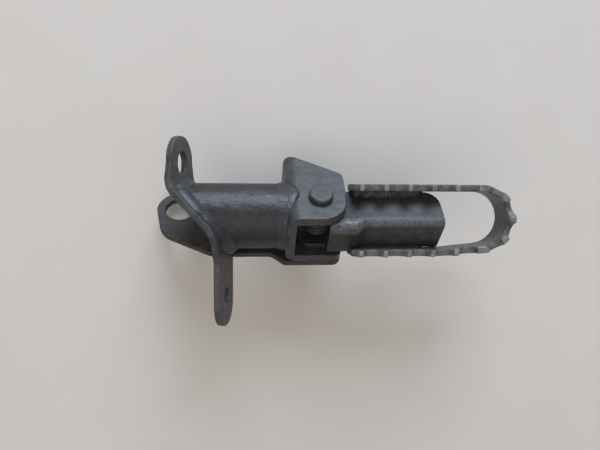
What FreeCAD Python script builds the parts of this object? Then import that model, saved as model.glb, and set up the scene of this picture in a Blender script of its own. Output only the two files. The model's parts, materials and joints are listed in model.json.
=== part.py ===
import FreeCAD, Part
import math
import os
import Sketcher
from FreeCAD import Placement, Rotation, Vector

# Folding footpeg with its frame bracket, right-hand side, in millimetres.
# Frame: origin at the front bolt hole, +X outboard along the peg, +Y forward, +Z up from the tread.
# The pivot pin leans forward, so the peg folds up and back about it.

DRIVING = [
    ("axis_back", 26.0, "tube axis behind the front bolt"),
    ("pivot_out", 70.5, "pin outboard of the front bolt"),
    ("pin_lean", 45.0, "lean of the pin from vertical, degrees"),
    ("tube_drop", 2.5, "tube axis forward and below the pin axis"),
    ("flange_lean", 15.0, "lean of the flange bolts from the tube, degrees"),
    ("plate_gauge", 3.2, "flange plate thickness"),
    ("joggle", 22.5, "rear lug outboard of the front lug"),
    ("joggle_angle", 45.0, "slope of the flange middle, degrees"),
    ("joggle_back", 12.0, "first bend behind the front bolt"),
    ("flange_bend", 11.0, "inside radius of the flange bends"),
    ("flange_half", 17.5, "half height of the flange middle"),
    ("front_bolt", 11.5, "front bolt hole diameter"),
    ("front_lug_half", 14.0, "half height of the front lug"),
    ("front_lug_reach", 13.5, "front lug end ahead of its hole"),
    ("rear_bolt", 7.5, "rear bolt hole diameter"),
    ("rear_bolt_back", 65.0, "rear bolt behind the front bolt"),
    ("rear_lug_half", 11.5, "half height of the rear lug"),
    ("rear_lug_reach", 15.4, "rear lug end behind its hole"),
    ("lug_flat", 0.5, "straight left beside the rounding of a lug end"),
    ("tube_dia", 33.0, "tube outside diameter, also the clevis width"),
    ("tube_wall", 3.0, "tube wall"),
    ("weld_leg", 3.2, "weld bead across the tube"),
    ("weld_run", 5.0, "weld bead along the tube"),
    ("weld_end", 0.8, "ends of the round beads above the stay"),
    ("stay_bead", 15.0, "length of the beads between the stay and the tube"),
    ("ear_gauge", 5.0, "clevis plate thickness"),
    ("clevis_back", 16.8, "outer face of the clevis back behind the pin"),
    ("clevis_bend", 6.5, "outside radius of the clevis bends"),
    ("ear_out", 12.7, "outboard edge of the ears from the pin"),
    ("ear_rear", 14.3, "fold-side edge of the ears from the pin"),
    ("ear_shoulder", 16.5, "front edge at the outboard corner"),
    ("ear_crown", 32.0, "front edge at the clevis back"),
    ("ear_round", 13.0, "fold-side rounding of the upper ear"),
    ("ear_corner", 4.5, "other corner rounding of the ears"),
    ("stay_gauge", 3.5, "stay plate thickness"),
    ("stay_rear", 8.7, "rear edge of the stay from the pin"),
    ("stay_front", 13.0, "front edge of the stay from the pin"),
    ("eye_in", 72.0, "stay eye inboard of the pin"),
    ("eye_front", 22.4, "stay eye ahead of the pin"),
    ("eye_hole", 15.0, "stay eye hole diameter"),
    ("eye_half", 12.3, "stay eye outside radius"),
    ("eye_bearing", 60.0, "bearing on the eye where its front edge leaves, degrees"),
    ("eye_tail", 17.4, "inboard edge of the eye runs this far behind its hole"),
    ("eye_taper", 3.7, "lean of that edge towards the pin"),
    ("neck_rear", 18.5, "rear edge of the stay begins outboard of the eye"),
    ("neck_front", 24.6, "front edge of the stay begins outboard of the eye"),
    ("pin_dia", 8.0, "pivot pin diameter"),
    ("pin_play", 0.05, "radial running clearance on the pin"),
    ("pin_tail", 8.0, "pin below the washer"),
    ("head_dia", 12.0, "pin head diameter"),
    ("head_rise", 3.3, "pin head height"),
    ("pin_bevel", 0.7, "bevel of the pin ends"),
    ("washer_dia", 16.0, "washer outside diameter"),
    ("washer_gauge", 1.6, "washer thickness"),
    ("split_dia", 2.0, "split pin diameter"),
    ("split_play", 0.15, "radial room for the split pin"),
    ("split_length", 16.0, "split pin shank length"),
    ("split_leg", 4.0, "split pin legs from its axis"),
    ("split_leg_dia", 1.6, "split pin leg and eye wire diameter"),
    ("channel_gauge", 3.2, "channel plate thickness"),
    ("side_play", 0.8, "gap between the channel and each ear"),
    ("channel_bend", 3.9, "outside radius of the channel bends"),
    ("web_high", 14.3, "outer face of the web at the pivot, from the pin"),
    ("web_low", 11.5, "outer face of the web along the tread, from the pin"),
    ("web_start", 4.0, "inboard end of the web from the pin"),
    ("step_out", 18.5, "web step from the pin"),
    ("step_slope", 35.0, "slope of the web step, degrees"),
    ("channel_end", 62.3, "outboard end of the channel from the pin"),
    ("channel_corner", 8.0, "rounding of the channel legs at their outboard end"),
    ("leg_reach", 10.0, "front edge of the channel legs from the pin"),
    ("heel_gap", 0.3, "heel of the channel to the clevis back"),
    ("strip_gauge", 3.7, "tread strip thickness"),
    ("strip_height", 18.5, "tread strip height to the tooth tips"),
    ("strip_drop", 2.5, "strip bottom below the front edge of the channel"),
    ("strip_start", 15.5, "inboard ends of the strip from the pin"),
    ("loop_reach", 98.5, "outboard tip of the tread loop from the pin"),
    ("loop_round", 13.4, "inside radius of the loop end"),
    ("tooth_first", 19.7, "first tooth tip from the pin"),
    ("tooth_pitch", 12.0, "tooth pitch"),
    ("notch_round", 4.6, "radius of the notch floors"),
    ("notch_depth", 5.4, "notch depth below the tips"),
    ("end_notch_round", 3.8, "radius of the notch floors round the loop end"),
    ("end_notch_depth", 4.0, "notch depth round the loop end"),
    ("tread_bead", 2.2, "radius of the welds under the tread"),
    ("spring_wire", 1.8, "return spring wire diameter"),
    ("spring_pitch", 2.3, "return spring coil pitch"),
    ("spring_turns", 4.0, "return spring turns"),
    ("spring_room", 1.2, "return spring coil to the pin"),
    ("tang_play", 0.2, "radial room for the spring tang"),
]

# Notches along each straight run, and the bearings in degrees of those round the loop end
RUN_NOTCHES = 6
END_NOTCHES = (66.0, 21.0, -21.0, -64.0)
# How far cutters and blanks run past the piece, and how near counts as touching
CLEAR = 60.0
TOUCH = 0.01

doc = FreeCAD.newDocument("footpeg")
sheet = doc.addObject("Spreadsheet::Sheet", "dims")
for row, (alias, number, note) in enumerate(DRIVING, start=1):
    sheet.set(f"A{row}", note)
    sheet.set(f"B{row}", str(number))
    sheet.setAlias(f"B{row}", alias)
doc.recompute()


def size(expression):
    return float(sheet.evalExpression(expression))


# Sizes that follow from the driving ones, written with the sheet's names
HALF = "dims.tube_dia / 2"
EAR_IN = f"({HALF} - dims.ear_gauge)"
CHANNEL_HALF = f"({EAR_IN} - dims.side_play)"
WALL_IN = "(dims.clevis_back - dims.ear_gauge)"
HEEL = f"({WALL_IN} - dims.heel_gap)"
RELIEF = "(dims.web_high - dims.channel_bend - dims.heel_gap)"
PIN_HOLE = "(dims.pin_dia + 2 * dims.pin_play)"
STEP_RUN = "((dims.web_high - dims.web_low) / tan(dims.step_slope))"
STEP_SHIFT = "(dims.channel_gauge * tan(dims.step_slope / 2))"
JOGGLE_RUN = "(dims.joggle / tan(dims.joggle_angle))"
STRIP_FRONT = f"(dims.leg_reach * cos(dims.pin_lean) + {CHANNEL_HALF} * sin(dims.pin_lean))"
STRIP_REAR = (f"((dims.web_low - dims.channel_bend) * cos(dims.pin_lean)"
              f" + ({CHANNEL_HALF} - dims.channel_bend) * sin(dims.pin_lean) + dims.channel_bend)")
STRIP_BASE = f"({CHANNEL_HALF} * cos(dims.pin_lean) - dims.leg_reach * sin(dims.pin_lean) - dims.strip_drop)"
LOOP_CENTRE = "(dims.loop_reach - dims.strip_gauge - dims.loop_round)"
WASHER_TOP = f"({HALF} + dims.stay_gauge)"
PIN_END = f"({WASHER_TOP} + dims.washer_gauge + dims.pin_tail)"
SPRING_MEAN = "(dims.pin_dia / 2 + dims.spring_room + dims.spring_wire / 2)"
CLEVIS_FACE = "dims.pivot_out - dims.clevis_back"
FRONT_END = "dims.front_lug_reach"
REAR_END = "-(dims.rear_bolt_back + dims.rear_lug_reach)"
BLANK_START = f"-{CLEAR / 2}"
SPLIT_UP = "(dims.split_dia / 2 + dims.split_play)"
SPLIT_LEVEL = f"-({WASHER_TOP} + dims.washer_gauge + {SPLIT_UP})"

# Place of the pin's middle, which the leaning pieces share with the level tread
PIVOT_BASE = ("dims.pivot_out",
              "-dims.axis_back - dims.tube_drop * cos(dims.pin_lean)",
              "dims.tube_drop * sin(dims.pin_lean)")


def place(item, base, turn=Rotation()):
    item.Placement = Placement(Vector(), turn)
    for letter, expression in zip("xyz", base):
        item.setExpression(f"Placement.Base.{letter}", expression)


def place_on_pivot(item):
    place(item, PIVOT_BASE, Rotation(Vector(-1, 0, 0), size("dims.pin_lean")))
    item.setExpression("Placement.Rotation.Angle", "dims.pin_lean")


def place_on_flange(item):
    place(item, ("0", "0", "0"), Rotation(Vector(0, -1, 0), size("dims.flange_lean")))
    item.setExpression("Placement.Rotation.Angle", "dims.flange_lean")


# Turns a cylinder or cone, which stands on its own Z axis, to point outboard
OUTBOARD = Rotation(Vector(0, 1, 0), 90)


# Building helpers
def new_body(label):
    body = doc.addObject("PartDesign::Body", label)
    body.Label = label
    return body


def new_sketch(body, plane_role, height=None):
    sketch = body.newObject("Sketcher::SketchObject", body.Label + "_sketch")
    plane = next(item for item in body.Origin.OriginFeatures if item.Role == plane_role)
    sketch.AttachmentSupport = [(plane, "")]
    sketch.MapMode = "FlatFace"
    if height:
        sketch.setExpression("AttachmentOffset.Base.z", height)
    return sketch


def pin_point(sketch, geometry, end, corner):
    for kind, expression in zip(("DistanceX", "DistanceY"), corner):
        number = sketch.addConstraint(Sketcher.Constraint(kind, -1, 1, geometry, end, size(expression)))
        sketch.setExpression(f"Constraints[{number}]", expression)


def add_outline(sketch, corners):
    # A corner is (x, y), or (x, y, centre x, centre y, turn) where an arc runs on from it
    points = [Vector(size(corner[0]), size(corner[1]), 0) for corner in corners]
    first = sketch.GeometryCount
    ends = []
    for index, corner in enumerate(corners):
        start = points[index]
        finish = points[(index + 1) % len(points)]
        if len(corner) == 2:
            sketch.addGeometry(Part.LineSegment(start, finish), False)
            ends.append((1, 2))
            continue
        centre = Vector(size(corner[2]), size(corner[3]), 0)
        circle = Part.Circle(centre, Vector(0, 0, 1), start.distanceToPoint(centre))
        angles = [math.atan2(point.y - centre.y, point.x - centre.x) for point in (start, finish)]
        turns_left = corner[4] == "left"
        sketch.addGeometry(Part.ArcOfCircle(circle, *(angles if turns_left else reversed(angles))), False)
        ends.append((1, 2) if turns_left else (2, 1))
    for index, corner in enumerate(corners):
        after = (index + 1) % len(corners)
        sketch.addConstraint(Sketcher.Constraint(
            "Coincident", first + index, ends[index][1], first + after, ends[after][0]))
        pin_point(sketch, first + index, ends[index][0], corner)
    for index, corner in enumerate(corners):
        if len(corner) > 2:
            radius = f"sqrt(({corner[0]} - ({corner[2]})) ^ 2 + ({corner[1]} - ({corner[3]})) ^ 2)"
            number = sketch.addConstraint(Sketcher.Constraint("Radius", first + index, size(radius)))
            sketch.setExpression(f"Constraints[{number}]", radius)


def add_circle(sketch, centre, diameter):
    middle = Vector(size(centre[0]), size(centre[1]), 0)
    index = sketch.addGeometry(Part.Circle(middle, Vector(0, 0, 1), size(diameter) / 2), False)
    pin_point(sketch, index, 3, centre)
    number = sketch.addConstraint(Sketcher.Constraint("Diameter", index, size(diameter)))
    sketch.setExpression(f"Constraints[{number}]", diameter)


def pad(body, sketch, length, midplane=False, reverse=False):
    feature = body.newObject("PartDesign::Pad", body.Label + "_pad")
    feature.Profile = sketch
    feature.setExpression("Length", length)
    feature.Midplane = midplane
    feature.Reversed = reverse
    doc.recompute()


def pocket(body, sketch, length, midplane=True):
    before = body.Shape.Volume
    feature = body.newObject("PartDesign::Pocket", body.Label + "_pocket")
    feature.Profile = sketch
    feature.setExpression("Length", length)
    feature.Midplane = midplane
    doc.recompute()
    if body.Shape.Volume >= before:
        raise RuntimeError(f"{feature.Label} cuts nothing")


def round_edges(body, radius, chosen):
    base = body.Tip
    names = [f"Edge{number}" for number, edge in enumerate(base.Shape.Edges, start=1) if chosen(edge)]
    if not names:
        raise RuntimeError(f"no edge to round on {body.Label}")
    feature = body.newObject("PartDesign::Fillet", body.Label + "_round")
    feature.Base = (base, names)
    feature.setExpression("Radius", radius)
    doc.recompute()
    if feature.Shape.isNull():
        raise RuntimeError(f"the rounding failed on {body.Label}")


def line_through(*corners, axis, side=None):
    # True for a straight edge along the axis that passes through one of the corners
    first, second = [letter for letter in "xyz" if letter != axis]
    spots = [(size(corner[0]), size(corner[1])) for corner in corners]

    def chosen(edge):
        start, finish = edge.Vertexes[0].Point, edge.Vertexes[-1].Point
        middle = (start + finish) / 2
        if abs(abs(getattr(start - finish, axis)) - edge.Length) > TOUCH or edge.Length < TOUCH:
            return False
        if side and side * getattr(middle, axis) < 0:
            return False
        return any(math.hypot(getattr(middle, first) - spot[0], getattr(middle, second) - spot[1]) < TOUCH
                   for spot in spots)
    return chosen


def primitive(kind, label, sizes):
    item = doc.addObject(kind, label)
    item.Label = label
    for name, expression in sizes.items():
        item.setExpression(name, expression)
    return item


def joined(label, pieces):
    item = doc.addObject("Part::MultiFuse", label)
    item.Label = label
    item.Shapes = pieces
    return item


def trimmed(label, base, *tools):
    # The base less each tool in turn, the last cut carrying the label
    item = base
    for number, tool in enumerate(tools, start=1):
        name = label if number == len(tools) else f"{label}_cut_{number}"
        cut = doc.addObject("Part::Cut", name)
        cut.Label = name
        cut.Base = item
        cut.Tool = tool
        item = cut
    return item


def shared(label, pieces):
    item = doc.addObject("Part::MultiCommon", label)
    item.Label = label
    item.Shapes = pieces
    return item


# Flange plate: lugs square to the bolts, stepped outboard in the middle
def flange_line(shift):
    # Corners of a plate face that lies this far outboard of the inboard face
    bend_shift = f"({shift}) * tan(dims.joggle_angle / 2)"
    return [(f"{shift}", f"-dims.joggle_back + {bend_shift}"),
            (f"dims.joggle + {shift}", f"-dims.joggle_back - {JOGGLE_RUN} + {bend_shift}")]


def flange_plate(stay_slot):
    body = new_body("flange_blank")
    inner = flange_line("0")
    outer = flange_line("dims.plate_gauge")
    plan = new_sketch(body, "XY_Plane")
    add_outline(plan, [("0", FRONT_END), inner[0], inner[1], (inner[1][0], REAR_END),
                       (outer[1][0], REAR_END), outer[1], outer[0], (outer[0][0], FRONT_END)])
    pad(body, plan, "2 * dims.flange_half", midplane=True)
    round_edges(body, "dims.flange_bend", line_through(outer[0], inner[1], axis="z"))
    round_edges(body, "dims.flange_bend + dims.plate_gauge", line_through(inner[0], outer[1], axis="z"))
    side = new_sketch(body, "YZ_Plane")
    far_front = f"({FRONT_END}) + {CLEAR}"
    far_rear = f"({REAR_END}) - {CLEAR}"
    far_half = f"dims.flange_half + {CLEAR}"
    add_outline(side, [(far_front, f"-({far_half})"), (far_front, far_half),
                       (far_rear, far_half), (far_rear, f"-({far_half})")])
    shoulder = f"-dims.joggle_back - {JOGGLE_RUN}"
    neck = f"-dims.rear_bolt_back + {HALF}"
    lower = [(FRONT_END, "-dims.front_lug_half"), ("0", "-dims.front_lug_half"),
             ("-dims.joggle_back", "-dims.flange_half"), (shoulder, "-dims.flange_half"),
             (neck, "-dims.rear_lug_half"), (REAR_END, "-dims.rear_lug_half")]
    upper = [(across, up[1:]) for across, up in reversed(lower)]
    add_outline(side, lower + upper)
    pocket(body, side, f"4 * ({far_half})")
    lug_ends = [(FRONT_END, "dims.front_lug_half"), (FRONT_END, "-dims.front_lug_half")]
    front_round = "min(dims.front_lug_half; dims.front_lug_reach) - dims.lug_flat"
    round_edges(body, front_round, line_through(*lug_ends, axis="x"))
    rear_ends = [(REAR_END, "dims.rear_lug_half"), (REAR_END, "-dims.rear_lug_half")]
    rear_round = "min(dims.rear_lug_half; dims.rear_lug_reach) - dims.lug_flat"
    round_edges(body, rear_round, line_through(*rear_ends, axis="x"))
    holes = new_sketch(body, "YZ_Plane")
    add_circle(holes, ("0", "0"), "dims.front_bolt")
    add_circle(holes, ("-dims.rear_bolt_back", "0"), "dims.rear_bolt")
    pocket(body, holes, f"4 * ({far_half})")
    place_on_flange(body)
    return trimmed("flange_plate", body, stay_slot)


def flange_side(label, shift):
    # Everything inboard of a plane that follows the flange, to trim the tube and its weld
    body = new_body(label)
    line = flange_line(shift)
    plan = new_sketch(body, "XY_Plane")
    far_front = f"({FRONT_END}) + {CLEAR}"
    far_rear = f"({REAR_END}) - {CLEAR}"
    add_outline(plan, [(f"-{CLEAR}", far_front), (f"-{CLEAR}", far_rear),
                       (line[1][0], far_rear), line[1], line[0], (line[0][0], far_front)])
    pad(body, plan, f"4 * {CLEAR}", midplane=True)
    round_edges(body, "dims.flange_bend", line_through(line[0], axis="z"))
    round_edges(body, "dims.flange_bend + dims.plate_gauge", line_through(line[1], axis="z"))
    place_on_flange(body)
    return body


# Tube and the welds at its ends
def along_tube(label, radius):
    # A round blank on the tube axis, from well inboard of the flange to the clevis back
    rod = primitive("Part::Cylinder", label, {"Radius": radius, "Height": f"{CLEVIS_FACE} - ({BLANK_START})"})
    place(rod, (BLANK_START, "-dims.axis_back", "0"), OUTBOARD)
    return rod


def stub_tube(side_block):
    bore = along_tube("tube_bore", f"{HALF} - dims.tube_wall")
    return trimmed("stub_tube", along_tube("tube_skin", HALF), bore, side_block)


def flange_weld(side_block, weld_slot):
    reach = flange_side("weld_reach", "dims.plate_gauge + dims.weld_run")
    collar = shared("flange_weld_blank", [along_tube("flange_weld_skin", f"{HALF} + dims.weld_leg"), reach])
    return trimmed("flange_weld", collar, along_tube("flange_weld_bore", HALF), side_block, weld_slot)


def clevis_weld(weld_slot):
    # A bead round the tube, one long side on the tube and one on the clevis back
    bead = primitive("Part::Cone", "clevis_weld_skin",
                     {"Radius1": HALF, "Radius2": f"{HALF} + dims.weld_leg", "Height": "dims.weld_run"})
    start = f"{CLEVIS_FACE} - dims.weld_run"
    place(bead, (start, "-dims.axis_back", "0"), OUTBOARD)
    return trimmed("clevis_weld", bead, along_tube("clevis_weld_bore", HALF), weld_slot)


def stay_weld(stay_slot, end_weld):
    # A bead each side of the line where the stay meets the tube, ending at the clevis weld
    beads = []
    start = "-dims.clevis_back - dims.weld_run - dims.stay_bead"
    # This far from that line the tube stands half a weld leg off the stay
    across = f"sqrt({HALF} * dims.weld_leg)"
    level = f"-{HALF} + dims.weld_leg / 4"
    for name, side in (("stay_bead_front", "+"), ("stay_bead_rear", "-")):
        bead = primitive("Part::Cylinder", name, {"Radius": "dims.weld_leg / 2", "Height": "dims.stay_bead"})
        place(bead, (start, f"dims.tube_drop {side} {across}", level), OUTBOARD)
        beads.append(bead)
    blank = joined("stay_weld_blank", beads)
    place_on_pivot(blank)
    return trimmed("stay_weld", blank, along_tube("stay_weld_bore", HALF), stay_slot, end_weld)


# Clevis: two ears square to the pin, joined by a back that closes the tube
def clevis_bracket():
    body = new_body("clevis_bracket")
    section = new_sketch(body, "XZ_Plane")
    out, back, wall = "dims.ear_out", "-dims.clevis_back", f"-{WALL_IN}"
    add_outline(section, [(out, HALF), (back, HALF), (back, f"-({HALF})"), (out, f"-({HALF})"),
                          (out, f"-{EAR_IN}"), (wall, f"-{EAR_IN}"), (wall, EAR_IN), (out, EAR_IN)])
    depth = "max(dims.ear_crown; dims.ear_rear)"
    pad(body, section, f"2 * {depth}", midplane=True)
    round_edges(body, "dims.clevis_bend", line_through((back, HALF), (back, f"-({HALF})"), axis="y"))
    # The creases inside are no larger than the side play, so that the heel of the channel clears them
    round_edges(body, "dims.side_play", line_through((wall, EAR_IN), (wall, f"-{EAR_IN}"), axis="y"))
    plan = new_sketch(body, "XY_Plane")
    far = f"{CLEAR}"
    add_outline(plan, [(f"-{far}", f"-{far}"), (far, f"-{far}"), (far, far), (f"-{far}", far)])
    add_outline(plan, [(back, "-dims.ear_rear"), (out, "-dims.ear_rear"),
                       (out, "dims.ear_shoulder"), (back, "dims.ear_crown")])
    pocket(body, plan, f"2 * {far}")
    round_edges(body, "dims.ear_round", line_through((out, "-dims.ear_rear"), axis="z", side=1))
    round_edges(body, "dims.ear_corner", line_through((out, "-dims.ear_rear"), axis="z", side=-1))
    round_edges(body, "dims.ear_corner", line_through((out, "dims.ear_shoulder"), axis="z"))
    hole = new_sketch(body, "XY_Plane")
    add_circle(hole, ("0", "0"), PIN_HOLE)
    pocket(body, hole, f"2 * {far}")
    place_on_pivot(body)
    return body


# Stay: a flat plate under the tube and the lower ear, with an eye at its inboard end
def stay_blank(label, thickness, rise="0"):
    # The rise lifts its upper face off the line where the stay touches the tube
    body = new_body(label)
    plan = new_sketch(body, "XY_Plane", f"-({HALF}) + {rise}")
    out, back = "dims.ear_out", "-dims.clevis_back"
    eye_x, eye_y = "-dims.eye_in", "dims.eye_front"
    eye_corner = (f"{eye_x} - dims.eye_half + dims.eye_taper", f"{eye_y} - dims.eye_tail")
    rear_neck = (f"{eye_x} + dims.neck_rear", "-dims.stay_rear")
    front_neck = (f"{eye_x} + dims.neck_front", "dims.stay_front")
    rear_shoulder = (f"{back} - dims.clevis_bend", "-dims.stay_rear")
    pad_corners = [(back, "-dims.ear_rear"), (out, "-dims.ear_rear"), (out, "dims.ear_shoulder")]
    eye_leave = (f"{eye_x} + dims.eye_half * cos(dims.eye_bearing)",
                 f"{eye_y} + dims.eye_half * sin(dims.eye_bearing)", eye_x, eye_y, "left")
    add_outline(plan, [(f"{eye_x} - dims.eye_half", eye_y), eye_corner, rear_neck, rear_shoulder,
                       *pad_corners, (back, "dims.stay_front"), front_neck, eye_leave])
    pad(body, plan, thickness, reverse=True)
    round_edges(body, "dims.eye_half", line_through(eye_corner, rear_neck, front_neck, axis="z"))
    round_edges(body, "dims.ear_corner", line_through(rear_shoulder, *pad_corners, axis="z"))
    place_on_pivot(body)
    return body


def stay_plate():
    body = stay_blank("stay_plate", "dims.stay_gauge")
    holes = new_sketch(body, "XY_Plane")
    add_circle(holes, ("0", "0"), PIN_HOLE)
    add_circle(holes, ("-dims.eye_in", "dims.eye_front"), "dims.eye_hole")
    pocket(body, holes, "4 * dims.tube_dia")
    return body


# Pivot pin, its washer and its split pin
def turned(label, outline):
    # A body of revolution about its own Z axis, from (radius, height) corners
    body = new_body(label)
    sketch = new_sketch(body, "XZ_Plane")
    add_outline(sketch, outline)
    feature = body.newObject("PartDesign::Revolution", label + "_turn")
    feature.Profile = sketch
    feature.ReferenceAxis = (sketch, ["V_Axis"])
    feature.Angle = 360
    doc.recompute()
    place_on_pivot(body)
    return body


def pivot_pin():
    radius, head = "dims.pin_dia / 2", "dims.head_dia / 2"
    bevel = "dims.pin_bevel"
    body = turned("pivot_pin", [
        ("0", f"-{PIN_END}"), (f"{radius} - {bevel}", f"-{PIN_END}"), (radius, f"-{PIN_END} + {bevel}"),
        (radius, HALF), (head, HALF), (head, f"{HALF} + dims.head_rise - {bevel}"),
        (f"{head} - {bevel}", f"{HALF} + dims.head_rise"), ("0", f"{HALF} + dims.head_rise")])
    cross = new_sketch(body, "YZ_Plane")
    add_circle(cross, ("0", SPLIT_LEVEL), f"2 * {SPLIT_UP}")
    pocket(body, cross, "2 * dims.pin_dia")
    return body


def pin_washer():
    bore = "dims.pin_dia / 2 + 2 * dims.pin_play"
    low = f"-({WASHER_TOP} + dims.washer_gauge)"
    return turned("pin_washer", [(bore, low), ("dims.washer_dia / 2", low),
                                 ("dims.washer_dia / 2", f"-{WASHER_TOP}"), (bore, f"-{WASHER_TOP}")])


def split_pin():
    # Shank through the pin, an eye at one end and two legs opened round the pin at the other
    leg_radius = "dims.split_leg_dia / 2"
    shank = primitive("Part::Cylinder", "split_shank",
                      {"Radius": "dims.split_dia / 2", "Height": "dims.split_length"})
    place(shank, ("-dims.split_length / 2", "0", SPLIT_LEVEL), OUTBOARD)
    eye = primitive("Part::Torus", "split_eye", {"Radius1": "dims.split_dia", "Radius2": leg_radius})
    place(eye, ("-dims.split_length / 2 - dims.split_dia", "0", SPLIT_LEVEL))
    legs = []
    for name, side in (("split_leg_front", 1), ("split_leg_rear", -1)):
        leg = primitive("Part::Cylinder", name, {"Radius": leg_radius, "Height": "dims.split_leg"})
        start = (f"dims.split_length / 2 - {leg_radius}", "0", SPLIT_LEVEL)
        place(leg, start, Rotation(Vector(-side, 0, 0), 90))
        legs.append(leg)
    whole = joined("split_pin", [shank, eye] + legs)
    place_on_pivot(whole)
    return whole


# Return spring: coils round the pin, one end on the clevis back, a tang in the lower leg of the channel
def return_spring():
    mean, wire = size(SPRING_MEAN), size("dims.spring_wire")
    # A quarter turn past the whole turns, the wire points at the clevis back
    rise, turns = size("dims.spring_pitch"), size("dims.spring_turns + 1 / 4")
    top = rise * turns / 2
    lower_leg = size(f"{CHANNEL_HALF} - dims.channel_gauge / 2")
    helix = Part.makeHelix(rise, rise * turns, mean)
    helix.translate(Vector(0, 0, -top))
    section = Part.Wire(Part.Circle(Vector(mean, 0, -top), Vector(0, 1, 0), wire / 2).toShape())
    coil = Part.Wire(helix.Edges).makePipeShell([section], True, True)
    tang_end, arm_start = Vector(mean, 0, -top), Vector(0, mean, top)
    tang = Part.makeCylinder(wire / 2, lower_leg - top, Vector(mean, 0, -lower_leg))
    arm = Part.makeCylinder(wire / 2, size(HEEL), arm_start, Vector(-1, 0, 0))
    knees = [Part.makeSphere(wire / 2, point) for point in (tang_end, arm_start)]
    spring = doc.addObject("Part::Feature", "return_spring")
    spring.Label = "return_spring"
    spring.Shape = coil.multiFuse([tang, arm] + knees)
    place_on_pivot(spring)
    return spring


# Channel of the peg: a web with two legs, rounded about the pin on the fold side
def peg_channel():
    body = new_body("peg_channel")
    step_end = f"dims.step_out + {STEP_RUN}"
    plan = new_sketch(body, "XY_Plane")
    add_outline(plan, [
        ("dims.web_start", "-dims.web_high"), ("dims.step_out", "-dims.web_high"),
        (step_end, "-dims.web_low"), ("dims.channel_end", "-dims.web_low"),
        ("dims.channel_end", "dims.leg_reach"), (f"-{HEEL}", "dims.leg_reach"),
        (f"-{HEEL}", "0", "0", "0", "left"),
        (f"-sqrt({HEEL} ^ 2 - {RELIEF} ^ 2)", f"-{RELIEF}"), ("dims.web_start", f"-{RELIEF}")])
    pad(body, plan, f"2 * {CHANNEL_HALF}", midplane=True)
    hollow = new_sketch(body, "XY_Plane")
    far = f"dims.channel_end + {CLEAR}"
    high, low = "-dims.web_high + dims.channel_gauge", "-dims.web_low + dims.channel_gauge"
    add_outline(hollow, [
        (f"-({far})", f"-({far})"), ("dims.web_start", f"-({far})"), ("dims.web_start", high),
        (f"dims.step_out - {STEP_SHIFT}", high), (f"{step_end} - {STEP_SHIFT}", low),
        (far, low), (far, far), (f"-({far})", far)])
    pocket(body, hollow, f"2 * ({CHANNEL_HALF} - dims.channel_gauge)")
    half, web_line, web_start = size(CHANNEL_HALF), -size("dims.web_low"), size("dims.web_start")

    def web_corner(edge):
        # Both ends on one outer face of a leg, and none of it ahead of the web
        level = abs(abs(sum(vertex.Z for vertex in edge.Vertexes)) - 2 * half) < TOUCH
        inside = all(vertex.X > web_start - TOUCH for vertex in edge.Vertexes)
        return level and inside and all(vertex.Y < web_line + TOUCH for vertex in edge.Vertexes)
    round_edges(body, "dims.channel_bend", web_corner)
    round_edges(body, "dims.channel_corner", line_through(("dims.channel_end", "dims.leg_reach"), axis="z"))
    hole = new_sketch(body, "XY_Plane")
    add_circle(hole, ("0", "0"), PIN_HOLE)
    pocket(body, hole, f"4 * {CHANNEL_HALF}")
    tang_hole = new_sketch(body, "XY_Plane")
    add_circle(tang_hole, (SPRING_MEAN, "0"), "dims.spring_wire + 2 * dims.tang_play")
    pocket(body, tang_hole, f"2 * {CHANNEL_HALF}", midplane=False)
    place_on_pivot(body)
    return body


# Tread: one toothed strip bent into a loop, on edge round the channel
def tread_strip():
    body = new_body("tread_strip")
    sketch = new_sketch(body, "XY_Plane", STRIP_BASE)
    gauge = "dims.strip_gauge"
    knee, start = "dims.channel_end", "dims.strip_start"
    centre_y = f"({STRIP_FRONT} - dims.loop_round)"
    # Past the channel the rear run slopes, so that it meets the round end without a corner
    along, across = f"({LOOP_CENTRE} - {knee})", f"({STRIP_REAR} + {centre_y})"
    reach = f"({along} ^ 2 + {across} ^ 2)"
    slope = f"sqrt({reach} - dims.loop_round ^ 2)"
    sine = f"(({across} * {slope} - {along} * dims.loop_round) / {reach})"
    cosine = f"(({along} * {slope} + {across} * dims.loop_round) / {reach})"
    outer_round = f"(dims.loop_round + {gauge})"
    outer_knee = f"{knee} + {gauge} * {sine} / (1 + {cosine})"
    add_outline(sketch, [
        (start, STRIP_FRONT),
        (LOOP_CENTRE, STRIP_FRONT, LOOP_CENTRE, centre_y, "right"),
        (f"{LOOP_CENTRE} + dims.loop_round * {sine}", f"{centre_y} - dims.loop_round * {cosine}"),
        (knee, f"-{STRIP_REAR}"), (start, f"-{STRIP_REAR}"),
        (start, f"-{STRIP_REAR} - {gauge}"), (outer_knee, f"-{STRIP_REAR} - {gauge}"),
        (f"{LOOP_CENTRE} + {outer_round} * {sine}", f"{centre_y} - {outer_round} * {cosine}",
         LOOP_CENTRE, centre_y, "left"),
        (LOOP_CENTRE, f"{STRIP_FRONT} + {gauge}"), (start, f"{STRIP_FRONT} + {gauge}")])
    pad(body, sketch, "dims.strip_height")
    place(body, PIVOT_BASE)
    return body


def notch(label, size, across, start, heading, length):
    # A round cutter lying level at the height of its notch, along the heading in degrees
    cutter = primitive("Part::Cylinder", label, {"Radius": f"dims.{size}_round", "Height": length})
    level = f"{STRIP_BASE} + dims.strip_height - dims.{size}_depth + dims.{size}_round"
    place(cutter, (across, start, level), Rotation(Vector(0, 0, 1), heading) * OUTBOARD)
    return cutter


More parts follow.
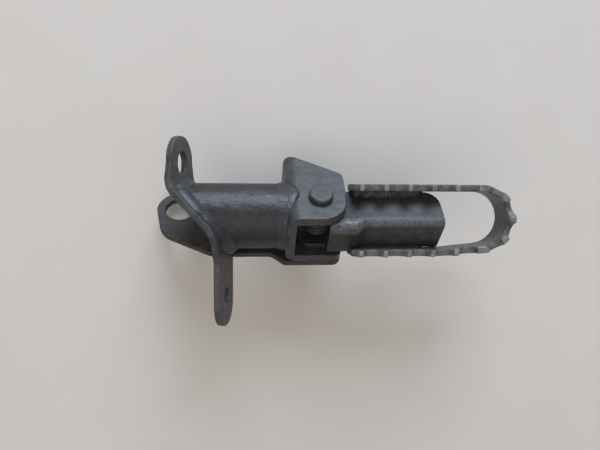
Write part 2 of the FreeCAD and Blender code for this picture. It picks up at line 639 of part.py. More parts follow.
def tread_loop(channel):
    cutters = []
    for index in range(RUN_NOTCHES):
        across = f"dims.tooth_first + {index - 0.5} * dims.tooth_pitch"
        cutters.append(notch(f"run_notch_{index}", "notch", across, f"-{CLEAR}", 90, f"2 * {CLEAR}"))
    centre_y = f"{STRIP_FRONT} - dims.loop_round"
    for index, heading in enumerate(END_NOTCHES):
        cutters.append(notch(f"end_notch_{index}", "end_notch", LOOP_CENTRE, centre_y, heading, f"{CLEAR}"))
    teeth = joined("notches", cutters)
    place(teeth, PIVOT_BASE)
    # The rear run is relieved where the web stands high at the pivot
    return trimmed("tread_loop", tread_strip(), teeth, channel)


# Welds between the channel and the tread strip, along the front and the rear runs
def tread_welds(channel, loop):
    welds = []
    start, finish = f"dims.step_out + {STEP_RUN}", "dims.channel_end - dims.channel_corner"
    seats = {
        "front_tread_weld": (STRIP_FRONT, f"{STRIP_BASE} + dims.strip_drop + dims.tread_bead"),
        "rear_tread_weld": (f"-{STRIP_REAR}", f"({CHANNEL_HALF} - dims.channel_bend) * -cos(dims.pin_lean)"
                            " + (dims.web_low - dims.channel_bend) * sin(dims.pin_lean) + dims.tread_bead"),
    }
    for label, (across, level) in seats.items():
        rod = primitive("Part::Cylinder", label + "_rod",
                        {"Radius": "dims.tread_bead", "Height": f"({finish}) - ({start})"})
        spot = (start, across, level)
        place(rod, [f"{base} + {step}" for base, step in zip(PIVOT_BASE, spot)], OUTBOARD)
        welds.append(trimmed(label, rod, channel, loop))
    return welds


side_block = flange_side("flange_side", "dims.plate_gauge")
stay_slot = stay_blank("stay_slot", f"{CLEAR}")
weld_slot = stay_blank("weld_slot", f"{CLEAR}", "dims.weld_end")
end_weld = flange_weld(side_block, weld_slot)
channel = peg_channel()
loop = tread_loop(channel)
nodes = [flange_plate(stay_slot), stub_tube(side_block), clevis_bracket(), stay_plate(),
         end_weld, clevis_weld(weld_slot), stay_weld(stay_slot, end_weld),
         pivot_pin(), pin_washer(), split_pin(), return_spring(), channel, loop]
nodes += tread_welds(channel, loop)
doc.recompute()

# Every object and every piece is sound before anything is written
for item in doc.Objects:
    if "Invalid" in item.State or "Error" in item.State:
        raise RuntimeError(f"{item.Label} failed: {item.State}")
for node in nodes:
    if node.Shape.isNull() or not node.Shape.isValid():
        raise RuntimeError(f"{node.Label} has no sound shape")
    print(node.Label, len(node.Shape.Solids), round(node.Shape.Volume), node.Shape.BoundBox)

os.makedirs("parts", exist_ok=True)
for node in nodes:
    node.Shape.exportStep(f"parts/{node.Label}.step")
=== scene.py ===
import json
import math
import bmesh
import bpy
from mathutils import Matrix, Vector, noise
from mathutils.bvhtree import BVHTree


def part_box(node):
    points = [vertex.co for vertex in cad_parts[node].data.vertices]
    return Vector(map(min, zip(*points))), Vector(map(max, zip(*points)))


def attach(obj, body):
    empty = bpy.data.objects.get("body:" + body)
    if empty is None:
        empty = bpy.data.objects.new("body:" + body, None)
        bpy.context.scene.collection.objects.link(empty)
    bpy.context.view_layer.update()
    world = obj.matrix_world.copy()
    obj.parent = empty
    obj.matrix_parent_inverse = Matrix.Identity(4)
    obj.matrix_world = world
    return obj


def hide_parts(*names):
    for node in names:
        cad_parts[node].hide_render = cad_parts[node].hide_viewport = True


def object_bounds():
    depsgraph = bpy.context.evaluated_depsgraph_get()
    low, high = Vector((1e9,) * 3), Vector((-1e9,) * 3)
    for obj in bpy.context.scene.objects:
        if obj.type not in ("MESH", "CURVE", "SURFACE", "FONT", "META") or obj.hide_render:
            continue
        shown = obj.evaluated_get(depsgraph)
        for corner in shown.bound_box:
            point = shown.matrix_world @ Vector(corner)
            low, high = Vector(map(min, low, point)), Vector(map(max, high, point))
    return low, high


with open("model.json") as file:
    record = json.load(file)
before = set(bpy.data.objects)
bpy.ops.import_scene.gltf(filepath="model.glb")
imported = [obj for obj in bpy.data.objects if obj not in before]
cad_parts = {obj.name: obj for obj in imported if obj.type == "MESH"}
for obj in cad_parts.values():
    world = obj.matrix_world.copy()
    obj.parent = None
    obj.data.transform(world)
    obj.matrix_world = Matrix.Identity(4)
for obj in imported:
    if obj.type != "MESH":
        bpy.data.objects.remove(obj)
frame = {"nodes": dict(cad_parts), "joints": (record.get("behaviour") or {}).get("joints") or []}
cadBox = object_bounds()
nodes = frame["nodes"]
mm = 0.001
print("frame loaded,", len(nodes), "nodes")

# Pivot frame: outboard along the peg, forward and down across it, up along the leaning pin
foldJoint = frame["joints"][0]
pivot = Vector(foldJoint["pos_m"])
outboard = Vector((1, 0, 0))
pinUp = -Vector(foldJoint["axis"]).normalized()
pinFront = pinUp.cross(outboard)

# Tube axis and radius, read from its node
tubeLow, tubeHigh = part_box("stub_tube")
tubeRadius = (tubeHigh.y - tubeLow.y) / 2
tubeCentre = Vector((0, (tubeHigh.y + tubeLow.y) / 2, 0))


def atPivot(x, y, z):
    # Millimetres in the pivot frame to metres in the part frame
    return pivot + (outboard * x + pinFront * y + pinUp * z) * mm


def hexColour(code):
    channels = [int(code[i:i + 2], 16) / 255 for i in (1, 3, 5)]
    return [c / 12.92 if c <= 0.04045 else ((c + 0.055) / 1.055) ** 2.4 for c in channels] + [1.0]


def addNode(tree, kind, values=None, links=None, **settings):
    node = tree.nodes.new(kind)
    for name, value in settings.items():
        setattr(node, name, value)
    for socket, value in (values or {}).items():
        node.inputs[socket].default_value = value
    for socket, source in (links or {}).items():
        tree.links.new(source, node.inputs[socket])
    return node


def startMaterial(name):
    material = bpy.data.materials.new(name)
    material.use_nodes = True
    material.node_tree.nodes.clear()
    return material, material.node_tree


def perMetre(sizeMm):
    # Texture scale for a feature of this size
    return 1000 / sizeMm


# Satin black enamel, brushed on over pressed steel and long in use: a broad cool sheen, brown dust on what
# faces up, grey burnished edges and grime in the corners; where asked, also a grey band at set heights (worn
# tips on the tread, a painted highlight on the channel's ridge), and dust let down the sides, partly painted
# light
paintFinish = {
    "paint": "#27282a",
    "paintFaded": "#373839",
    "dust": "#746c5c",
    "bare": "#a3a5a6",
    "grime": "#211f1b",
    "mottleMm": 9,
    "dustMm": 5,
    "wearMm": 2.2,
    "scratchMm": 0.9,
    "grainMm": 1.1,       # grit under the paint, drawn a little coarse so that it shows
    "brushMm": 0.9,       # brush marks, running across the part
    "dentMm": 5,
    "bumpMm": 0.13,       # depth of the grit
    "dentDepth": 4,       # times the grit's
    "brushDepth": 0.7,    # times the grit's
    "roughness": 0.40,
    "dustRoughness": 0.85,
    "bareRoughness": 0.36,
    "bareMetal": 0.5,
    "wear": 0.3,
    "scratchShare": 0.4,  # of the wear
    "dustShare": 0.3,
    "dustFrom": -0.1,     # upward part of a face's normal at which dust begins to lie; set well below level, it lightens side faces as painted light
    "dustFull": 0.9,
    "cornerShare": 0.7,
    "oilShare": 0.85,
    "tipMm": None,        # heights of a grey band: boots' wear on the tread's tips, and a painted highlight along the channel's ridge
    "oilMm": None,        # reach outboard between which the darker paint near the pivot fades out
}
# Readings of the noise, and of how sharp an edge is, between which each effect sets in
paintSpans = {
    "faded": {"From Min": 0.38, "From Max": 0.66},
    "settled": {"From Min": 0.36, "From Max": 0.7},
    "corner": {"From Min": 0.49, "From Max": 0.42},
    "rim": {"From Min": 0.53, "From Max": 0.66},
    "chipped": {"From Min": 0.34, "From Max": 0.64},
    "scratched": {"From Min": 0.68, "From Max": 0.76},
}
scratchRun = {"Scale": (0.12, 1.0, 1.0), "Rotation": (0.3, 0.2, 0.5)}
brushRun = {"Scale": (1.0, 0.16, 0.16)}


def satinBlackEnamel(name, **changes):
    finish = {**paintFinish, **changes}
    material, tree = startMaterial(name)
    place = addNode(tree, "ShaderNodeTexCoord")
    shape = addNode(tree, "ShaderNodeNewGeometry")
    spot = place.outputs["Object"]
    axes = addNode(tree, "ShaderNodeSeparateXYZ", None, {"Vector": spot})

    # Faded and fresh patches of paint
    mottle = addNode(tree, "ShaderNodeTexNoise",
                     {"Scale": perMetre(finish["mottleMm"]), "Detail": 6, "Roughness": 0.68},
                     {"Vector": spot})
    patches = addNode(tree, "ShaderNodeMapRange", paintSpans["faded"], {"Value": mottle.outputs["Fac"]})
    paint = addNode(tree, "ShaderNodeMix",
                    {"A": hexColour(finish["paint"]), "B": hexColour(finish["paintFaded"])},
                    {"Factor": patches.outputs["Result"]}, data_type="RGBA")

    # Dust settles on what faces up, in patches; where it is let down the sides, the lighter colour there is
    # partly painted light
    facing = addNode(tree, "ShaderNodeSeparateXYZ", None, {"Vector": place.outputs["Normal"]})
    upward = addNode(tree, "ShaderNodeMapRange",
                     {"From Min": finish["dustFrom"], "From Max": finish["dustFull"],
                      "To Max": finish["dustShare"]},
                     {"Value": facing.outputs["Z"]})
    speckle = addNode(tree, "ShaderNodeTexNoise",
                      {"Scale": perMetre(finish["dustMm"]), "Detail": 9, "Roughness": 0.75}, {"Vector": spot})
    settled = addNode(tree, "ShaderNodeMapRange", paintSpans["settled"], {"Value": speckle.outputs["Fac"]})
    cover = addNode(tree, "ShaderNodeMath", None, {0: upward.outputs["Result"], 1: settled.outputs["Result"]},
                    operation="MULTIPLY")
    dusty = addNode(tree, "ShaderNodeMix", {"B": hexColour(finish["dust"])},
                    {"A": paint.outputs["Result"], "Factor": cover.outputs[0]}, data_type="RGBA")

    # Grime in the inner corners, and darker paint near the pivot
    corner = addNode(tree, "ShaderNodeMapRange", {**paintSpans["corner"], "To Max": finish["cornerShare"]},
                     {"Value": shape.outputs["Pointiness"]})
    grimy = addNode(tree, "ShaderNodeMix", {"B": hexColour(finish["grime"])},
                    {"A": dusty.outputs["Result"], "Factor": corner.outputs["Result"]}, data_type="RGBA")
    if finish["oilMm"]:
        oilyTo, oilyEnd = [reach * mm for reach in finish["oilMm"]]
        oily = addNode(tree, "ShaderNodeMapRange",
                       {"From Min": oilyEnd, "From Max": oilyTo, "To Max": finish["oilShare"]},
                       {"Value": axes.outputs["X"]})
        grimy = addNode(tree, "ShaderNodeMix", {"B": hexColour(finish["grime"])},
                        {"A": grimy.outputs["Result"], "Factor": oily.outputs["Result"]}, data_type="RGBA")

    # Paint rubbed off the edges, broken up by noise, and a few fine scratches; the grey band at set heights
    # is rubbed paint on the tread's tips and a painted highlight along the channel's ridge
    rim = addNode(tree, "ShaderNodeMapRange", paintSpans["rim"], {"Value": shape.outputs["Pointiness"]})
    chips = addNode(tree, "ShaderNodeTexNoise",
                    {"Scale": perMetre(finish["wearMm"]), "Detail": 6, "Roughness": 0.65}, {"Vector": spot})
    broken = addNode(tree, "ShaderNodeMapRange", {**paintSpans["chipped"], "To Max": finish["wear"]},
                     {"Value": chips.outputs["Fac"]})
    rubbedPlace = rim.outputs["Result"]
    if finish["tipMm"]:
        tipLow, tipHigh = [height * mm for height in finish["tipMm"]]
        tips = addNode(tree, "ShaderNodeMapRange", {"From Min": tipLow, "From Max": tipHigh},
                       {"Value": axes.outputs["Z"]})
        rubbedPlace = addNode(tree, "ShaderNodeMath", None, {0: rubbedPlace, 1: tips.outputs["Result"]},
                              operation="MAXIMUM").outputs[0]
    rubbed = addNode(tree, "ShaderNodeMath", None, {0: rubbedPlace, 1: broken.outputs["Result"]},
                     operation="MULTIPLY")
    drawn = addNode(tree, "ShaderNodeMapping", scratchRun, {"Vector": spot})
    lines = addNode(tree, "ShaderNodeTexNoise", {"Scale": perMetre(finish["scratchMm"]), "Detail": 2},
                    {"Vector": drawn.outputs["Vector"]})
    scratch = addNode(tree, "ShaderNodeMapRange",
                      {**paintSpans["scratched"], "To Max": finish["wear"] * finish["scratchShare"]},
                      {"Value": lines.outputs["Fac"]})
    worn = addNode(tree, "ShaderNodeMath", None, {0: rubbed.outputs[0], 1: scratch.outputs["Result"]},
                   operation="MAXIMUM")
    colour = addNode(tree, "ShaderNodeMix", {"B": hexColour(finish["bare"])},
                     {"A": grimy.outputs["Result"], "Factor": worn.outputs[0]}, data_type="RGBA")

    # Dust dulls the sheen; rubbing and the band of painted highlight bring it up
    dull = addNode(tree, "ShaderNodeMapRange",
                   {"To Min": finish["roughness"], "To Max": finish["dustRoughness"]},
                   {"Value": cover.outputs[0]})
    rough = addNode(tree, "ShaderNodeMix", {"B": finish["bareRoughness"]},
                    {"A": dull.outputs["Result"], "Factor": worn.outputs[0]})

    # Dents, brush marks and grit
    dents = addNode(tree, "ShaderNodeTexNoise", {"Scale": perMetre(finish["dentMm"]), "Detail": 2},
                    {"Vector": spot})
    swept = addNode(tree, "ShaderNodeMapping", brushRun, {"Vector": spot})
    brush = addNode(tree, "ShaderNodeTexNoise", {"Scale": perMetre(finish["brushMm"]), "Detail": 3},
                    {"Vector": swept.outputs["Vector"]})
    grain = addNode(tree, "ShaderNodeTexNoise",
                    {"Scale": perMetre(finish["grainMm"]), "Detail": 5, "Roughness": 0.65}, {"Vector": spot})
    grit = finish["bumpMm"] * mm
    soft = addNode(tree, "ShaderNodeBump", {"Strength": 0.6, "Distance": grit * finish["dentDepth"]},
                   {"Height": dents.outputs["Fac"]})
    marked = addNode(tree, "ShaderNodeBump", {"Strength": 0.5, "Distance": grit * finish["brushDepth"]},
                     {"Height": brush.outputs["Fac"], "Normal": soft.outputs["Normal"]})
    fine = addNode(tree, "ShaderNodeBump", {"Strength": 0.7, "Distance": grit},
                   {"Height": grain.outputs["Fac"], "Normal": marked.outputs["Normal"]})
    metal = addNode(tree, "ShaderNodeMath", {1: finish["bareMetal"]}, {0: worn.outputs[0]},
                    operation="MULTIPLY")
    shader = addNode(tree, "ShaderNodeBsdfPrincipled", {"IOR": 1.5}, {
        "Base Color": colour.outputs["Result"], "Roughness": rough.outputs["Result"],
        "Metallic": metal.outputs[0], "Normal": fine.outputs["Normal"]})
    addNode(tree, "ShaderNodeOutputMaterial", None, {"Surface": shader.outputs["BSDF"]})
    return material


# Zinc plate gone dull: grey metal with pale bloom and brown stain in patches
zincFinish = {"zinc": "#a3a29b", "bloom": "#c4c2b8", "stain": "#5f5346", "patchMm": 3, "stainShare": 0.8,
              "metal": 0.9, "roughness": 0.42, "stainRoughness": 0.75}


def dullZincPlate(name):
    finish = zincFinish
    material, tree = startMaterial(name)
    place = addNode(tree, "ShaderNodeTexCoord")
    patches = addNode(tree, "ShaderNodeTexNoise", {"Scale": perMetre(finish["patchMm"]), "Detail": 6},
                      {"Vector": place.outputs["Object"]})
    bloom = addNode(tree, "ShaderNodeMix", {"A": hexColour(finish["zinc"]), "B": hexColour(finish["bloom"])},
                    {"Factor": patches.outputs["Fac"]}, data_type="RGBA")
    stained = addNode(tree, "ShaderNodeMapRange",
                      {"From Min": 0.55, "From Max": 0.7, "To Max": finish["stainShare"]},
                      {"Value": patches.outputs["Fac"]})
    colour = addNode(tree, "ShaderNodeMix", {"B": hexColour(finish["stain"])},
                     {"A": bloom.outputs["Result"], "Factor": stained.outputs["Result"]}, data_type="RGBA")
    rough = addNode(tree, "ShaderNodeMapRange",
                    {"To Min": finish["roughness"], "To Max": finish["stainRoughness"]},
                    {"Value": stained.outputs["Result"]})
    shader = addNode(tree, "ShaderNodeBsdfPrincipled", {"Metallic": finish["metal"]}, {
        "Base Color": colour.outputs["Result"], "Roughness": rough.outputs["Result"]})
    addNode(tree, "ShaderNodeOutputMaterial", None, {"Surface": shader.outputs["BSDF"]})
    return material


# Spring steel, oil-blacked: a dull dark oxide film that hides most of the metal, with rust freckles
springFinish = {"black": "#3a3a3c", "rust": "#5a3d28", "freckleMm": 1.6, "metal": 0.3, "roughness": 0.62,
                "rustRoughness": 0.8}


def oilBlackedSpringSteel(name):
    finish = springFinish
    material, tree = startMaterial(name)
    place = addNode(tree, "ShaderNodeTexCoord")
    freckles = addNode(tree, "ShaderNodeTexNoise", {"Scale": perMetre(finish["freckleMm"]), "Detail": 5},
                       {"Vector": place.outputs["Object"]})
    rusty = addNode(tree, "ShaderNodeMapRange", {"From Min": 0.56, "From Max": 0.66},
                    {"Value": freckles.outputs["Fac"]})
    colour = addNode(tree, "ShaderNodeMix", {"A": hexColour(finish["black"]), "B": hexColour(finish["rust"])},
                     {"Factor": rusty.outputs["Result"]}, data_type="RGBA")
    rough = addNode(tree, "ShaderNodeMapRange",
                    {"To Min": finish["roughness"], "To Max": finish["rustRoughness"]},
                    {"Value": rusty.outputs["Result"]})
    shader = addNode(tree, "ShaderNodeBsdfPrincipled", {"Metallic": finish["metal"]}, {
        "Base Color": colour.outputs["Result"], "Roughness": rough.outputs["Result"]})
    addNode(tree, "ShaderNodeOutputMaterial", None, {"Surface": shader.outputs["BSDF"]})
    return material


# One enamel, with the tone, dust and wear set for each piece; the darker tones of the stay and the beads are
# painted shade
bracketPaint = satinBlackEnamel("satinEnamelOnBracket")
tubePaint = satinBlackEnamel("satinEnamelOnTube", paint="#111214", paintFaded="#1b1c1d", bumpMm=0.24,
                             dustShare=0.1, roughness=0.41)
# The stay's enamel is darker than the bracket's: painted shade, standing in for the flange's shadow over it
stayPaint = satinBlackEnamel("satinEnamelOnStay", paint="#1f1f1e", paintFaded="#2b2a28", roughness=0.64)
pegPaint = satinBlackEnamel("satinEnamelOnPeg", paint="#303133", paintFaded="#3f4041", dust="#6a6459",
                            # On the peg the dust reaches part way down the flanks: partly dust, partly
                            # painted light standing in for light from ahead
                            dustShare=0.5, dustFrom=-0.3, roughness=0.45, wear=0.32,
                            # On the peg the grey band at these heights lies along the channel's ridge: a
                            # painted highlight, standing in for the low window's reflection on the bend
                            tipMm=(14.8, 16.6), oilMm=(87, 99))
treadPaint = satinBlackEnamel("satinEnamelOnTread", paint="#333436", paintFaded="#4a4b4c", dust="#8d8575",
                              # On the tread the dust reaches well down the side faces: brown dust, and
                              # painted light on faces such as the strip's inner face at the loop's end,
                              # standing in for light from inboard
                              dustShare=0.6, dustFrom=-0.9, wear=0.5, wearMm=3.4, tipMm=(14.5, 17.4))
# Every bead's enamel is darker and almost free of dust: painted shade, standing in for the shade in the
# valleys between tread strip and channel
beadPaint = satinBlackEnamel("satinEnamelOverWeld", paint="#1d1e20", paintFaded="#2b2c2d", dustShare=0.08,
                             wear=0.15, bumpMm=0.14)
zinc = dullZincPlate("dullZincPlate")
springSteel = oilBlackedSpringSteel("oilBlackedSpringSteel")
print("materials made")


def addPiece(name, mesh, material, body, slot, *stoodFor):
    piece = bpy.data.objects.new(name, mesh)
    bpy.context.scene.collection.objects.link(piece)
    piece.data.materials.clear()
    piece.data.materials.append(material)
    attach(piece, body)
    if stoodFor:
        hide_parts(*stoodFor)
    return piece


# Pressed and bent steel: each plate's edges are eased as shearing, pressing and paint leave them
pressings = {
    "flangePressing": {"node": "flange_plate", "body": "bracket", "slot": "bracket_paint",
                       "paint": bracketPaint, "voxelMm": 0.4, "ease": 5, "dentMm": 0.10},
    "tubeStub": {"node": "stub_tube", "body": "bracket", "slot": "bracket_paint",
                 "paint": tubePaint, "voxelMm": 0.5, "ease": 3, "dentMm": 0.10},
    "clevisPressing": {"node": "clevis_bracket", "body": "bracket", "slot": "bracket_paint",
                       "paint": bracketPaint, "voxelMm": 0.4, "ease": 6, "dentMm": 0.08},
    "stayPressing": {"node": "stay_plate", "body": "bracket", "slot": "bracket_paint",
                     "paint": stayPaint, "voxelMm": 0.4, "ease": 9, "dentMm": 0.10},
    "pivotPin": {"node": "pivot_pin", "body": "bracket", "slot": "pin_paint",
                 "paint": bracketPaint, "voxelMm": 0.3, "ease": 4, "dentMm": 0.03},
    "pegChannel": {"node": "peg_channel", "body": "peg", "slot": "peg_paint",
                   "paint": pegPaint, "voxelMm": 0.4, "ease": 5, "dentMm": 0.10},
    "treadLoop": {"node": "tread_loop", "body": "peg", "slot": "peg_paint",
                  "paint": treadPaint, "voxelMm": 0.35, "ease": 36, "dentMm": 0.2},
}
easeFactor = 0.5
dentSpacingMm = 7
keptShare = 0.4       # of the fine mesh's faces, once its flats are thinned out


def evaluatedMesh(holder):
    depsgraph = bpy.context.evaluated_depsgraph_get()
    return bpy.data.meshes.new_from_object(holder.evaluated_get(depsgraph))


def easedMesh(pressing):
    holder = bpy.data.objects.new("easing", nodes[pressing["node"]].data.copy())
    bpy.context.scene.collection.objects.link(holder)
    remesh = holder.modifiers.new("remesh", "REMESH")
    remesh.mode = "VOXEL"
    remesh.voxel_size = pressing["voxelMm"] * mm
    ease = holder.modifiers.new("ease", "SMOOTH")
    ease.factor = easeFactor
    ease.iterations = pressing["ease"]
    fine = evaluatedMesh(holder)
    # Hand-size unevenness, inwards only; the normals are read before any vertex moves
    inward = [-vertex.normal for vertex in fine.vertices]
    moved = []
    for vertex, heading in zip(fine.vertices, inward):
        depth = 0.5 + 0.5 * noise.noise(vertex.co / (dentSpacingMm * mm))
        moved.extend(vertex.co + heading * (depth * pressing["dentMm"] * mm))
    fine.vertices.foreach_set("co", moved)
    fine.update()
    holder.modifiers.clear()
    holder.data = fine
    thin = holder.modifiers.new("thin", "DECIMATE")
    thin.ratio = keptShare
    mesh = evaluatedMesh(holder)
    bpy.data.objects.remove(holder)
    mesh.shade_smooth()
    return mesh


for name, pressing in pressings.items():
    addPiece(name, easedMesh(pressing), pressing["paint"], pressing["body"], pressing["slot"],
             pressing["node"])
print("pressings eased")

# Weld beads: a rounded fill between two faces, rippled and lumpy from the hand-held torch
beadLook = {
    "stepMm": 0.45,
    "arcPoints": 9,
    "overlap": 0.12,      # how far the bead's face runs on past both legs
    "flat": 0.75,         # 0 is a round face, 1 a flat one
    "fill": 0.86,
    "rippleMm": 1.9,
    "rippleDepth": 0.06,
    "rippleLag": 0.55,    # the middle of a ripple trails its ends
    "lumpMm": 4.5,
    "lumpDepth": 0.16,
    "buried": 0.35,
    "endShare": 0.3,
    "endMm": 3.0,
}


def evenly(path, step):
    # The seam's samples again, at an even spacing
    lengths = [0.0]
    for before, after in zip(path, path[1:]):
        lengths.append(lengths[-1] + (after[0] - before[0]).length)
    count = max(2, round(lengths[-1] / step))
    samples = []
    index = 0
    for number in range(count + 1):
        along = lengths[-1] * number / count
        while index < len(path) - 2 and lengths[index + 1] < along:
            index += 1
        share = (along - lengths[index]) / max(lengths[index + 1] - lengths[index], 1e-9)
        before, after = path[index], path[index + 1]
        samples.append((along, *[a.lerp(b, share) for a, b in zip(before, after)]))
    return samples


def beadMesh(name, paths, leg):
    look = beadLook
    mesh = bmesh.new()
    for path in paths:
        samples = evenly(path, look["stepMm"] * mm)
        total = samples[-1][0]
        rings = []
        for along, corner, first, second in samples:
            toEnd = min(along, total - along) / (look["endMm"] * mm)
            swell = look["endShare"] + (1 - look["endShare"]) * math.sqrt(min(1.0, toEnd))
            ring = [mesh.verts.new(corner - (first + second) * (leg * look["buried"]))]
            for number in range(look["arcPoints"]):
                across = number / (look["arcPoints"] - 1)
                share = -look["overlap"] + (1 + 2 * look["overlap"]) * across
                chord = first * (1 - share) + second * share
                reach = first.length * (1 - share) + second.length * share
                heading = (chord.normalized() * reach).lerp(chord, look["flat"])
                bulge = math.sin(math.pi * min(max(share, 0), 1))
                phase = along / (look["rippleMm"] * mm) - look["rippleLag"] * bulge
                ripple = abs(math.sin(math.pi * phase))
                lump = noise.noise((corner + heading * leg) / (look["lumpMm"] * mm))
                size = look["fill"] + look["rippleDepth"] * (ripple - 0.5) * bulge + look["lumpDepth"] * lump
                ring.append(mesh.verts.new(corner + heading * (leg * swell * size)))
            rings.append(ring)
        for before, after in zip(rings, rings[1:]):
            for i in range(len(before)):
                j = (i + 1) % len(before)
                mesh.faces.new((before[i], before[j], after[j], after[i]))
        mesh.faces.new(rings[0])
        mesh.faces.new(list(reversed(rings[-1])))
    bmesh.ops.recalc_face_normals(mesh, faces=mesh.faces)
    made = bpy.data.meshes.new(name)
    mesh.to_mesh(made)
    mesh.free()
    made.shade_smooth()
    return made


def treeOf(node):
    shape = bmesh.new()
    shape.from_mesh(nodes[node].data)
    shape.transform(nodes[node].matrix_world)
    tree = BVHTree.FromBMesh(shape)
    shape.free()
    return tree


# Seams round the tube, cast along it on to the plate that closes its end
tubeSeams = {"openDegrees": 22, "stepDegrees": 2, "castFromMm": 6, "insideMm": 0.35, "besideMm": 2.0,
             "flare": 0.9, "easePasses": 12}
# plateShare is the bead's leg on the plate against its leg on the tube
tubeBeads = {
    "flangeBead": {"node": "flange_weld", "plate": "flange_plate", "heading": -1, "legMm": 5.2,
                   "plateShare": 0.66},
    "clevisBead": {"node": "clevis_weld", "plate": "clevis_bracket", "heading": 1, "legMm": 5.0,
                   "plateShare": 0.3},
}


def tubeSeam(bead):
    sizes = tubeSeams
    heading = bead["heading"]
    leg = bead["legMm"] * mm
    tree = treeOf(bead["plate"])
    castFrom = tubeCentre + outboard * ((tubeLow.x + tubeHigh.x) / 2 + sizes["castFromMm"] * mm)
    path = []
    # Turned from the line where the stay touches the tube, which has no bead
    for turn in range(sizes["openDegrees"], 361 - sizes["openDegrees"], sizes["stepDegrees"]):
        angle = math.radians(turn)
        radial = pinFront * math.sin(angle) - pinUp * math.cos(angle)
        near = castFrom + radial * (tubeRadius - sizes["insideMm"] * mm)
        beside = castFrom + radial * (tubeRadius + sizes["besideMm"] * mm)
        hit = tree.ray_cast(near, outboard * heading)[0]
        hitBeside = tree.ray_cast(beside, outboard * heading)[0]
        if hit is None:
            continue
        corner = outboard * hit.x + tubeCentre + radial * tubeRadius
        away = radial + outboard * heading * sizes["flare"]
        if hitBeside:
            away = hitBeside - corner
        # Where the plate bends away, the bead fills the gap to the tube's end
        gap = max(0, hit.x - tubeHigh.x) if heading > 0 else 0
        path.append((corner, outboard * (-heading * (1 + gap / leg)), away.normalized() * bead["plateShare"]))
    # The torch rounds off what the plate's bends do to the seam
    for count in range(sizes["easePasses"]):
        inner = []
        for near in zip(path, path[1:], path[2:]):
            inner.append(tuple((a + b * 2 + c) / 4 for a, b, c in zip(*near)))
        path = [path[0], *inner, path[-1]]
    return path


for name, bead in tubeBeads.items():
    mesh = beadMesh(name, [tubeSeam(bead)], bead["legMm"] * mm)
    addPiece(name, mesh, beadPaint, "bracket", "weld_paint", bead["node"])

# Beads on both sides of the stay, in the narrow angle under the tube
stayBead = {"legMm": 4.2, "seamMm": 4.5}      # the seam from the line where the stay touches the tube
stayLow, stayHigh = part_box("stay_weld")
seamOut = stayBead["seamMm"] * mm
tilt = math.asin(seamOut / tubeRadius)
stayPaths = []
for side in (1, -1):
    corner = tubeCentre - pinUp * tubeRadius + pinFront * (side * seamOut)
    along = pinFront * side
    upward = (pinFront * side * math.cos(tilt) + pinUp * math.sin(tilt)).normalized()
    stayPaths.append([(Vector((x, corner.y, corner.z)), along, upward) for x in (stayLow.x, stayHigh.x)])
addPiece("stayBead", beadMesh("stayBead", stayPaths, stayBead["legMm"] * mm),
         beadPaint, "bracket", "weld_paint", "stay_weld")

# Beads in the two valleys between the channel and the tread strip; side picks the rear or front face
treadBeads = {
    "frontTreadBead": {"node": "front_tread_weld", "side": 1, "slope": -pinFront, "legMm": 5.0},
    "rearTreadBead": {"node": "rear_tread_weld", "side": 0, "slope": pinUp, "legMm": 3.0},
}
treadLeadMm = 6.5     # run-on towards the pivot
for name, bead in treadBeads.items():
    low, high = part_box(bead["node"])
    seamY = (low, high)[bead["side"]].y
    path = [(Vector((x, seamY, low.z)), bead["slope"], Vector((0, 0, 1)))
            for x in (low.x - treadLeadMm * mm, high.x)]
    addPiece(name, beadMesh(name, [path], bead["legMm"] * mm), beadPaint, "peg", "weld_paint", bead["node"])
print("weld beads laid")


def wireMesh(name, points, wire):
    curve = bpy.data.curves.new(name, "CURVE")
    curve.dimensions = "3D"
    curve.bevel_depth = wire / 2
    curve.bevel_resolution = 4
    curve.use_fill_caps = True
    spline = curve.splines.new("POLY")
    spline.points.add(len(points) - 1)
    for spot, point in zip(spline.points, points):
        spot.co = (*point, 1)
    holder = bpy.data.objects.new(name, curve)
    bpy.context.scene.collection.objects.link(holder)
    mesh = evaluatedMesh(holder)
    bpy.data.objects.remove(holder)
    mesh.shade_smooth()
    return mesh


# Return spring: coils and a straight arm stay with the bracket, the tang in the leg goes with the peg
springSizes = {"meanMm": 6.1, "wireMm": 1.8, "pitchMm": 2.3, "turns": 4.25, "armMm": 11.5, "tangEndMm": 9.1,
               "stepsPerTurn": 32}
mean = springSizes["meanMm"]
springWire = springSizes["wireMm"] * mm
height = springSizes["pitchMm"] * springSizes["turns"]
steps = round(springSizes["turns"] * springSizes["stepsPerTurn"])
coil = []
for i in range(steps + 1):
    angle = 2 * math.pi * springSizes["turns"] * i / steps
    coil.append(atPivot(mean * math.cos(angle), mean * math.sin(angle), -height / 2 + height * i / steps))
coil.append(atPivot(-springSizes["armMm"], mean, height / 2))
addPiece("springCoil", wireMesh("springCoil", coil, springWire), springSteel, "bracket", "spring_steel",
         "return_spring")
tang = [atPivot(mean, 0, -height / 2), atPivot(mean, 0, -springSizes["tangEndMm"])]
addPiece("springTang", wireMesh("springTang", tang, springWire), springSteel, "peg", "spring_steel")

